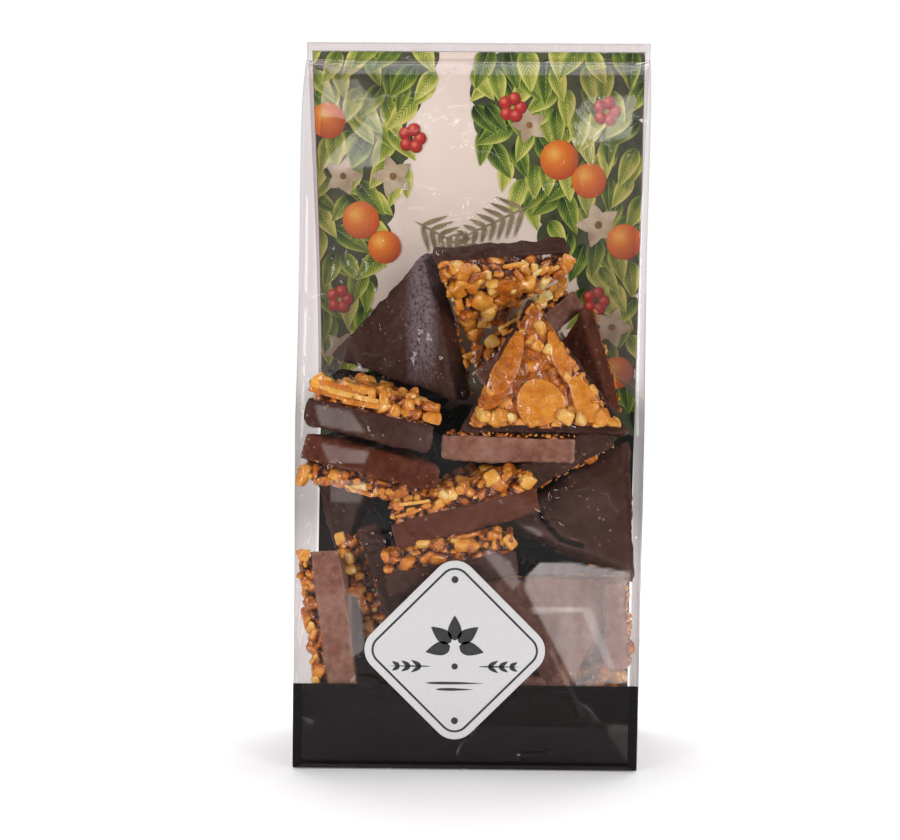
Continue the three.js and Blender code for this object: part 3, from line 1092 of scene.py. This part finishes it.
class FLORENTINES_OT_card(bpy.types.Operator):
    """Adds the folded card: back panel, floor and short front flap, and its printed ground"""

    bl_idname = "florentines.card"
    bl_label = "Add Folded Card"

    def execute(self, context):
        settings = context.scene.florentine_card
        wall = {"thickness": CARD_THICKNESS * MM, "offset": 1, "use_even_offset": True}
        piece = sheet("folded_card", card_line(), CARD_WIDTH / 2, **wall)
        dress(piece, "black_card", card_finish(tuple(settings.board)), "card")

        heights = np.linspace(12, CARD_HEIGHT - 0.2, 60)
        line = [(float(print_y(z, 0.03)), float(z)) for z in heights]
        ground = sheet("print_ground", line, CARD_WIDTH / 2 - 0.15, thickness=0.02 * MM, offset=0)
        dress(ground, "black_card", print_ground_finish(tuple(settings.ground)), "card")
        return {"FINISHED"}


def leaf_form():
    """A leaf outline: pointed, widest below its middle, one unit long with its stalk at the origin."""
    add = bpy.ops.mesh.primitive_grid_add
    piece = new_primitive(add, "leaf", x_subdivisions=12, y_subdivisions=4, size=1)
    for vertex in piece.data.vertices:
        way = vertex.co.x + 0.5
        half = math.sin(math.pi * way**0.72) ** 0.85 * (1 - 0.25 * way) if 0 < way < 1 else 0
        vertex.co = (way, vertex.co.y * half, 0)
    return Form(piece)


def disc_form():
    """A flat round, one unit in radius, with its UV over the whole disc."""
    add = bpy.ops.mesh.primitive_circle_add
    return Form(new_primitive(add, "disc", vertices=28, radius=1, fill_type="TRIFAN", calc_uvs=True))


def laid(form, x, z, size, angle):
    """A flat form's x and z at a place, stretched and turned by angle degrees from pointing right."""
    cos, sin = math.cos(math.radians(angle)), math.sin(math.radians(angle))
    across, up = form.points[:, 0] * size[0], form.points[:, 1] * size[1]
    return x + across * cos - up * sin, z + across * sin + up * cos


class PrintLayer:
    """Flat printed motifs on the card, each a little nearer the viewer than the one before."""

    def __init__(self, lift, step):
        self.heap, self.lift, self.step = Heap(), lift, step

    def put(self, form, x, z, size, angle=0, tone=0.5):
        self.lift += self.step
        x, z = laid(form, x, z, size, angle)
        x = np.clip(x, -CARD_WIDTH / 2 + 0.2, CARD_WIDTH / 2 - 0.2)
        z = np.clip(z, 14, CARD_HEIGHT - 0.3)
        self.heap.put(form, np.stack([card_x(x, z), print_y(z, self.lift), z], axis=1), tone)

    def finish(self, name, make, *colours):
        """Joins the motifs into a piece in a finish of the same name."""
        piece = self.heap.piece(name)
        modify(piece, "SOLIDIFY", thickness=0.002 * MM, offset=0)
        dress(piece, "black_card", make(name, *colours), "card")


def opening(z):
    """The left and right edges of the bare middle of the print at a height."""
    half = 5 + 29 * (1 - float(smooth(118, 203, z)))
    half *= float(smooth(96, 112, z))
    centre = -5 + 4 * math.sin(z * 0.06)
    return centre - half, centre + half


def garland(rng):
    """Places for leaves: rows that follow the card's sides and top, dense enough to overlap."""
    places = []
    for row, z in enumerate(np.arange(96, 208, 5.4)):
        left, right = opening(z)
        for x in np.arange(-49 + 3.2 * (row % 2), 50, 6.4):
            spot_x, spot_z = x + rng.uniform(-2, 2), z + rng.uniform(-2.4, 2.4)
            if left < spot_x < right:
                continue
            hang = -1 if spot_x < (left + right) / 2 else 1
            rim = min(abs(spot_x - left), abs(spot_x - right)) < 5 and z > 100
            places.append((spot_x, spot_z, hang, rim))
    return places


# Where the other motifs lie on the card, in millimetres, with their sizes; a sprig also has its angle.
FRUIT = (
    (-36, 158, 5.6),
    (-29, 150, 5.0),
    (24, 176, 5.8),
    (33, 170, 5.2),
    (44, 152, 5.4),
    (-45, 187, 5.2),
    (43, 112, 5),
)
BERRIES = ((-20, 182), (38, 190), (-43, 134), (36, 134), (10, 191))
BLOSSOMS = ((-26, 171, 6.5), (36, 157, 7), (-41, 171, 6), (15, 186, 5.5), (41, 126, 6.5), (-43, 119, 5.5))
SPRIGS = ((-20, 158, -28, 26), (16, 163, 205, 28), (30, 118, 160, 20), (-34, 121, 20, 18))


class FLORENTINES_OT_print(bpy.types.Operator):
    """Adds the printed garland of leaves, fruit and blossoms on the card's inner face"""

    bl_idname = "florentines.print"
    bl_label = "Add Card Print"

    def execute(self, context):
        rng = random.Random(context.scene.florentine_card.seed)
        leaf, disc = leaf_form(), disc_form()
        shadow, leaves = PrintLayer(0.06, 0.0004), PrintLayer(0.14, 0.0012)
        places = garland(rng)
        for x, z, _, rim in places:
            if not rim:
                shadow.put(disc, x, z, (5.5, 5.5))
        for x, z, hang, _ in places:
            angle = -90 - hang * rng.uniform(-48, 62)
            length = rng.uniform(9.5, 13.5)
            # Leaves low on the card are darkened as painted shade behind the biscuits.
            tone = rng.uniform(0.42, 0.92) - 0.55 * (1 - float(smooth(98, 116, z)))
            size = (length, length * rng.uniform(0.5, 0.6))
            leaves.put(leaf, x - 3 * math.cos(math.radians(angle)), z + 5, size, angle, tone)
        shadow.finish("print_shade", ink_finish, (0.030, 0.044, 0.018), (0.080, 0.100, 0.034), 150)
        leaves.finish("print_leaves", leaf_finish)

        stalks = PrintLayer(0.50, 0.0012)
        for x, z, angle, length in SPRIGS:
            turn = math.radians(angle)
            stalks.put(leaf, x, z, (length, 0.7), angle)
            for i in range(1, 9):
                reach = length * i / 9
                size = (length * 0.3 * (1.2 - i / 9), 1.5)
                for side in (-48, 48):
                    at = x + reach * math.cos(turn), z + reach * math.sin(turn)
                    stalks.put(leaf, *at, size, angle + side)
        stalks.finish("print_sprigs", ink_finish, (0.20, 0.145, 0.075), (0.36, 0.285, 0.16), 260)

        petals, hearts = PrintLayer(0.55, 0.0015), PrintLayer(0.62, 0.0015)
        for x, z, size in BLOSSOMS:
            for i in range(5):
                petals.put(leaf, x, z, (size, size * 0.72), i * 72 + x * 7)
            hearts.put(disc, x, z, (size * 0.17, size * 0.17))
        petals.finish("print_petals", ink_finish, (0.40, 0.30, 0.185), (0.66, 0.55, 0.38), 190)
        hearts.finish("print_hearts", ink_finish, (0.16, 0.075, 0.02), (0.30, 0.15, 0.04))

        oranges, berries = PrintLayer(0.56, 0.0015), PrintLayer(0.56, 0.0015)
        for x, z, size in FRUIT:
            oranges.put(disc, x, z, (size, size))
        for x, z in BERRIES:
            for i in range(5):
                berries.put(disc, x + 2.4 * math.cos(i * 1.3), z + 2.6 * math.sin(i * 1.3), (1.9, 1.9))
        orange = (0.45, 0.050, 0.010), (0.80, 0.20, 0.015), (0.93, 0.48, 0.08)
        red = (0.20, 0.006, 0.008), (0.56, 0.025, 0.018), (0.80, 0.22, 0.15)
        oranges.finish("print_oranges", fruit_finish, *orange)
        berries.finish("print_berries", fruit_finish, *red)
        return {"FINISHED"}


# ---------- the film ----------
# Each is a patch of the front film that lies off the contents, painted milky as a painted reflection of
# the softboxes: how milky it is, and its outline as (x, z) points in millimetres. A negative one is a
# clearer patch over the flap, a painted dark reflection.
PAINTED_REFLECTIONS = (
    (0.13, ((-43, 104.5), (-41, 98), (-32.5, 96.5), (-27.5, 96), (-32, 102.5))),
    (0.14, ((-41, 93.5), (-38.5, 87.5), (-28, 87.5), (-26.5, 91))),
    (0.10, ((-38.5, 83), (-38, 76.5), (-29, 76.5), (-28, 83))),
    (0.13, ((-34, 51.5), (-32.5, 31.5), (-28, 34.5), (-29.5, 50))),
    (0.24, ((17, 56), (16.7, 52), (31.5, 24.5), (47.5, 25.5), (47, 57.5), (29, 60.3), (21, 60))),
    (0.10, ((17, 56), (47, 55.5), (47, 57.5), (29, 60.3), (21, 60))),
    (0.22, ((19, 45), (33.5, 45.6), (33.5, 47.6), (18.5, 47.3))),
    (0.14, ((33, 45.5), (40, 30), (43.5, 29), (36, 47), (33, 47.6))),
    (0.12, ((23.2, 35.6), (33.4, 15.7), (34.8, 15.7), (24.5, 35.6))),
    (0.16, ((4, 63), (13.5, 51.5), (16, 54), (13, 60), (8, 63.5))),
    (0.13, ((14.5, 71), (21, 67), (23, 68), (18.5, 70.5))),
    (0.05, ((39, 14.5), (44.5, 5), (48.5, 1), (48.5, 14))),
    (-0.025, ((32, 24.5), (34, 19), (38.5, 14.5), (46, 13.5), (48, 17), (48, 25))),
    (0.22, ((33.2, 19.4), (38, 13.6), (38.6, 15), (34, 20.6))),
    (0.18, ((41, 12.6), (47, 12.2), (47, 13.6), (41, 14))),
    (-0.025, ((-48, 20), (-45, 14), (-42, 15), (-43, 21), (-47, 22))),
    (0.16, ((-46.6, 15.2), (-44.6, 12.8), (-42.2, 13.2), (-43, 14.6))),
)
REFLECTION_EDGE = 0.6  # over how many millimetres a painted reflection fades in
FRONT_HAZE = 0.001
# The film over the flap is painted a little milky, so that the negative patches show as painted dark
# reflections.
FLAP_HAZE = 0.009
SIDE_HAZE = 0.02
SEAL_HAZE = 0.4
LEFT_FOLD_SHADE = 1.2  # how much each folded side darkens what shows through it: its film layers, and on the left more as painted shade
RIGHT_FOLD_SHADE = 0.3
FILM_ROWS = 300
FRONT_COLUMNS = 150
SIDE_COLUMNS = 16
BACK_COLUMNS = 16
CORNER_COLUMNS = 5


def film_half_width(z):
    return (FILM_WIDTH_LOW + (FILM_WIDTH_TOP - FILM_WIDTH_LOW) * smooth(140, FILM_HEIGHT, z)) / 2


def front_bulge(across, z):
    """How far the contents push the front film out, with the biscuits' own bumps in it."""
    filled = smooth(59, 82, z) * (1 - smooth(140, SEAL_FOOT, z))
    bumps = np.cos(across * 7 + z * 0.05) * np.cos(z * 0.16 + across * 2)
    return filled * (1 - across**2) * (2.4 + 0.7 * bumps)


def gusset_inset(z):
    """How far the middle of each side folds in: a V whose two halves keep their width."""
    narrow = np.minimum(HALF_DEPTH, side_depth(z) / 2)
    folded = smooth(FOLD_START, FOLD_SETTLED, z) * (1 - smooth(SEAL_FOOT - 5, SEAL_FOOT, z))
    return folded * np.sqrt(HALF_DEPTH**2 - narrow * narrow)


def within(outline, x, z):
    """How far inside a convex outline points lie, in millimetres: negative outside."""
    depth = np.full_like(x, np.inf)
    middle = np.mean(outline, axis=0)
    for (x0, z0), (x1, z1) in zip(outline, (*outline[1:], outline[0])):
        side = ((x1 - x0) * (z - z0) - (z1 - z0) * (x - x0)) / math.hypot(x1 - x0, z1 - z0)
        facing_in = (x1 - x0) * (middle[1] - z0) - (z1 - z0) * (middle[0] - x0) > 0
        depth = np.minimum(depth, side if facing_in else -side)
    return depth


def film_haze_and_reflection(points, front):
    """How milky the film is at its points, painted reflections included, of which front says which lie on
    the front panel.
    """
    x, z = points[:, 0], points[:, 2]
    milk_and_reflection = FRONT_HAZE + FLAP_HAZE * (1 - smooth(FLAP_HEIGHT, FLAP_HEIGHT + 0.6, z))
    for strength, outline in PAINTED_REFLECTIONS:
        milk_and_reflection += strength * smooth(0, REFLECTION_EDGE, within(outline, x, z))
    haze = np.where(front, milk_and_reflection, SIDE_HAZE * smooth(20, 60, z))
    return haze + SEAL_HAZE * smooth(CARD_HEIGHT - 1, CARD_HEIGHT + 0.5, z)


def film_fold_shade(points, front):
    """How much the folded sides darken what shows through them, beyond the card's edges: their film layers,
    and painted shade that makes the left side darker.
    """
    x, z = points[:, 0], points[:, 2]
    side = np.where(x < 0, LEFT_FOLD_SHADE, RIGHT_FOLD_SHADE) * (1 - 0.5 * smooth(150, 200, z)) * smooth(24, 30, z)
    return np.where(front, 0, side * smooth(44, 47, np.abs(x - lean_x(z))))


def film_row(z):
    """One level line of the bag, anticlockwise from above from the front left corner, in millimetres."""
    half = float(film_half_width(z))
    front, back = float(front_y(z)), float(back_y(z)) + FILM_CLEARANCE
    radius = min(CORNER_RADIUS, (back - front) * 0.25)
    flat = half - radius
    turns = np.linspace(0, math.pi / 2, CORNER_COLUMNS)
    across = np.linspace(-1, 1, FRONT_COLUMNS + 1)[1:-1]
    way = np.linspace(0, 1, 2 * SIDE_COLUMNS + 1)[1:-1]
    swell = 0.5 * float(smooth(10, 50, z) * (1 - smooth(85, FOLD_START, z)))
    fold = float(gusset_inset(z)) * (1 - np.abs(2 * way - 1))
    side_x = half - fold + swell * np.sin(math.pi * way)
    side_y = front + radius + (back - front - radius) * way
    x = np.concatenate([
        -flat - radius * np.cos(turns),
        across * flat,
        flat + radius * np.cos(turns[::-1]),
        side_x,
        np.linspace(half, -half, BACK_COLUMNS + 1),
        -side_x[::-1],
    ])
    y = np.concatenate([
        front + radius * (1 - np.sin(turns)),
        front - front_bulge(across, z),
        front + radius * (1 - np.sin(turns[::-1])),
        side_y,
        np.full(BACK_COLUMNS + 1, back),
        side_y[::-1],
    ])
    return np.stack([x + lean_x(z), y, np.full_like(x, z)], axis=1)


class FLORENTINES_OT_film(bpy.types.Operator):
    """Adds the clear film bag with its folded side gussets, creases and flat top seal"""

    bl_idname = "florentines.film"
    bl_label = "Add Film Bag"

    def execute(self, context):
        settings = context.scene.florentine_film
        rows = [film_row(float(z)) for z in np.linspace(0.03, FILM_HEIGHT, FILM_ROWS)]
        count, points = len(rows[0]), np.concatenate(rows)
        faces = []
        for level in range(FILM_ROWS - 1):
            for i in range(count):
                a, b = level * count + i, level * count + (i + 1) % count
                faces.append((a, b, b + count, a + count))
        faces.append(tuple(range(count))[::-1])
        faces.append(tuple(range((FILM_ROWS - 1) * count, FILM_ROWS * count)))
        front = np.arange(len(points)) % count < FRONT_COLUMNS - 1 + 2 * CORNER_COLUMNS
        haze = film_haze_and_reflection(points, front) * settings.haze_and_reflection_share
        piece = mesh_piece("bag_film", points, faces, haze=haze, fold=film_fold_shade(points, front))
        outward(piece, 50)
        dress(piece, "clear_film", film_finish(tuple(settings.haze_and_reflection_colour)), "bag")
        return {"FINISHED"}


# ---------- the label ----------
BORDER_MARGIN = 2.0
BORDER_WIDTH = 0.62
DOT_HEIGHT = 20.2
FLOWER_Z = 1.5
SPRAY_Z = -4.6
SPRAY_LEAVES = ((9.5, 3.4), (12.6, 3.0), (15.6, 2.6))  # distance from the middle, and length
RULES = ((-9.4, 8.5), (-11.2, 5.5))  # height and half length


class FLORENTINES_OT_label(bpy.types.Operator):
    """Adds the white diamond label with its ruled border and a plain leaf ornament"""

    bl_idname = "florentines.label"
    bl_label = "Add Label"

    def execute(self, context):
        settings = context.scene.florentine_label
        thickness = settings.thickness / MM
        plate = new_primitive(bpy.ops.mesh.primitive_cube_add, "label_plate", size=1)
        settle(plate, Matrix.Diagonal((settings.side, settings.side, settings.thickness, 1)))
        bevel_edges(plate, upright, settings.corner, 10)
        bevel_edges(plate, lambda a, b: min(a.z, b.z) > LEVEL, 0.12 * MM, 2)
        self.stand(plate, thickness / 2)
        shade(plate, 40)
        dress(plate, "label_paper", label_finish(tuple(settings.paper)), "label")

        ink = ink_finish("label_ink", (0.018, 0.018, 0.020), (0.030, 0.030, 0.032))
        border = self.border(settings.side, settings.corner)
        self.stand(border, thickness + 0.01)
        dress(border, "label_paper", ink, "label")

        ornament = self.ornament(LABEL_BACK - thickness - 0.012)
        dress(ornament, "label_paper", ink, "label")
        return {"FINISHED"}

    def stand(self, piece, forward):
        """Turns a flat label piece onto its point, stands it up and puts it in front of the film."""
        at = Matrix.Translation((LABEL_X * MM, (LABEL_BACK - forward) * MM, LABEL_Z * MM))
        up, on_point = Matrix.Rotation(math.pi / 2, 4, "X"), Matrix.Rotation(math.pi / 4, 4, "Z")
        settle(piece, at @ up @ on_point)

    def border(self, side, corner):
        """A rounded square rule: a plane with rounded corners, inset, with its middle taken out."""
        margin = BORDER_MARGIN * MM
        add = bpy.ops.mesh.primitive_plane_add
        piece = new_primitive(add, "label_border", size=side - 2 * margin)
        bpy.ops.object.mode_set(mode="EDIT")
        bpy.ops.mesh.select_all(action="SELECT")
        bpy.ops.mesh.bevel(offset=corner - margin, segments=10, affect="VERTICES")
        bpy.ops.mesh.select_mode(type="FACE")
        bpy.ops.mesh.select_all(action="SELECT")
        bpy.ops.mesh.inset(thickness=BORDER_WIDTH * MM)
        bpy.ops.mesh.delete(type="FACE")
        bpy.ops.object.mode_set(mode="OBJECT")
        modify(piece, "SOLIDIFY", thickness=0.02 * MM, offset=0)
        return piece

    def ornament(self, y):
        """The label's dots, five-leaved flower, two sprays and two rules, on a plane y."""
        leaf, disc, heap = leaf_form(), disc_form(), Heap()

        def put(form, x, z, size, angle=0):
            x, z = laid(form, LABEL_X + x, LABEL_Z + z, size, angle)
            heap.put(form, np.stack([x, np.full_like(x, y), z], axis=1), 0.5)

        for z in (DOT_HEIGHT, -DOT_HEIGHT):
            put(disc, 0, z, (1.0, 1.0))
        for angle in (90, 38, 142, -14, 194):
            turn = math.radians(angle)
            put(leaf, 1.3 * math.cos(turn), FLOWER_Z + 1.3 * math.sin(turn), (7.2, 4.4), angle)
        for side in (-1, 1):
            back = 90 - 90 * side
            for reach, length in SPRAY_LEAVES:
                for lift in (-32, 32):
                    put(leaf, side * reach, SPRAY_Z, (length, 1.3), back + side * lift)
            put(leaf, side * 6.6, SPRAY_Z, (12.4, 0.5), back)
        put(disc, 0, SPRAY_Z, (0.9, 0.9))
        for z, half_length in RULES:
            put(leaf, -half_length, z, (2 * half_length, 0.9))
        piece = heap.piece("label_ornament")
        modify(piece, "SOLIDIFY", thickness=0.01 * MM, offset=0)
        return piece


# ---------- the studio ----------
CAMERA_PLACE = (20.4, -465.0, 128.6)
CAMERA_TURN = (0.6, 86.3, 0.4)  # degrees: turned slightly left, tilted 3.7 down, and rolled
CAMERA_LENS = 62.84
CAMERA_SHIFT = -0.08
CAMERA_SENSOR = 36
FLOOR_SIZE = 8  # metres

# Each light's place and the point it faces, in millimetres, its two sides, and its radiance.
LIGHTS = (
    ("left_softbox", (-640, -760, 190), (0, 0, 100), (340, 560), 9.6),
    ("right_softbox", (700, -720, 180), (0, 0, 100), (340, 560), 10.8),
    ("top_softbox", (0, 300, 1000), (0, 0, 100), (1100, 800), 4.4),
)


class FLORENTINES_OT_stage(bpy.types.Operator):
    """Adds the floor, the soft lights and the camera"""

    bl_idname = "florentines.stage"
    bl_label = "Add Studio"

    def execute(self, context):
        scene, settings = context.scene, context.scene.florentine_studio
        scene.view_settings.view_transform = "Standard"
        scene.camera = self.camera(context)
        floor = new_primitive(bpy.ops.mesh.primitive_plane_add, "studio_floor", size=FLOOR_SIZE)
        floor.data.materials.append(floor_finish())
        for name, place, aim, (width, height), radiance in LIGHTS:
            light = bpy.data.lights.new(name, "AREA")
            light.shape, light.size, light.size_y = "RECTANGLE", width * MM, height * MM
            light.energy = settings.light * radiance * math.pi * light.size * light.size_y
            lamp = bpy.data.objects.new(name, light)
            context.collection.objects.link(lamp)
            turn = (Vector(aim) - Vector(place)).to_track_quat("-Z", "Y").to_matrix().to_4x4()
            lamp.matrix_world = Matrix.Translation(Vector(place) * MM) @ turn
            lamp.visible_camera = False
        scene.world = self.room(settings.glow)
        return {"FINISHED"}

    def camera(self, context):
        data = bpy.data.cameras.new("camera")
        data.lens, data.shift_x, data.sensor_width = CAMERA_LENS, CAMERA_SHIFT, CAMERA_SENSOR
        data.clip_start, data.clip_end = 0.01, 20
        camera = bpy.data.objects.new("camera", data)
        context.collection.objects.link(camera)
        place = Matrix.Translation(Vector(CAMERA_PLACE) * MM)
        for degrees, axis in zip(CAMERA_TURN, "ZXZ"):
            place = place @ Matrix.Rotation(math.radians(degrees), 4, axis)
        camera.matrix_world = place
        return camera

    def room(self, glow):
        """White where the camera sees past the floor, and a faint glow everywhere else."""
        world = bpy.data.worlds.new("studio_world")
        world.use_nodes = True
        nodes, links = world.node_tree.nodes, world.node_tree.links
        faint, wall = nodes["Background"], nodes.new("ShaderNodeBackground")
        for background in (faint, wall):
            background.inputs["Color"].default_value = (1, 1, 1, 1)
        faint.inputs["Strength"].default_value = glow
        both = nodes.new("ShaderNodeMixShader")
        links.new(nodes.new("ShaderNodeLightPath").outputs["Is Camera Ray"], both.inputs[0])
        links.new(faint.outputs[0], both.inputs[1])
        links.new(wall.outputs[0], both.inputs[2])
        links.new(both.outputs[0], nodes["World Output"].inputs["Surface"])
        return world


# ---------- the add-on ----------
class FLORENTINES_PT_panel(bpy.types.Panel):
    """Lists the pack's settings and pieces in the sidebar"""

    bl_idname = "FLORENTINES_PT_panel"
    bl_label = "Pack of Florentines"
    bl_space_type = "VIEW_3D"
    bl_region_type = "UI"
    bl_category = "Florentines"

    def draw(self, context):
        for key, group in SETTINGS.items():
            for name in group.__annotations__:
                self.layout.prop(getattr(context.scene, key), name)
        for operator in OPERATORS:
            self.layout.operator(operator.bl_idname)


SETTINGS = {
    "florentine_biscuits": BiscuitSettings,
    "florentine_card": CardSettings,
    "florentine_film": FilmSettings,
    "florentine_label": LabelSettings,
    "florentine_studio": StudioSettings,
}
OPERATORS = (
    FLORENTINES_OT_stage,
    FLORENTINES_OT_card,
    FLORENTINES_OT_print,
    FLORENTINES_OT_biscuits,
    FLORENTINES_OT_film,
    FLORENTINES_OT_label,
)
CLASSES = (*SETTINGS.values(), *OPERATORS, FLORENTINES_PT_panel)


def register():
    for cls in CLASSES:
        bpy.utils.register_class(cls)
    for key, group in SETTINGS.items():
        setattr(bpy.types.Scene, key, bpy.props.PointerProperty(type=group))


def unregister():
    for key in SETTINGS:
        delattr(bpy.types.Scene, key)
    for cls in reversed(CLASSES):
        bpy.utils.unregister_class(cls)


def main():
    """Registers the add-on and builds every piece."""
    register()
    bpy.ops.florentines.stage()
    bpy.ops.florentines.card()
    bpy.ops.florentines.print()
    bpy.ops.florentines.biscuits()
    bpy.ops.florentines.film()
    bpy.ops.florentines.label()


if __name__ == "__main__":
    main()
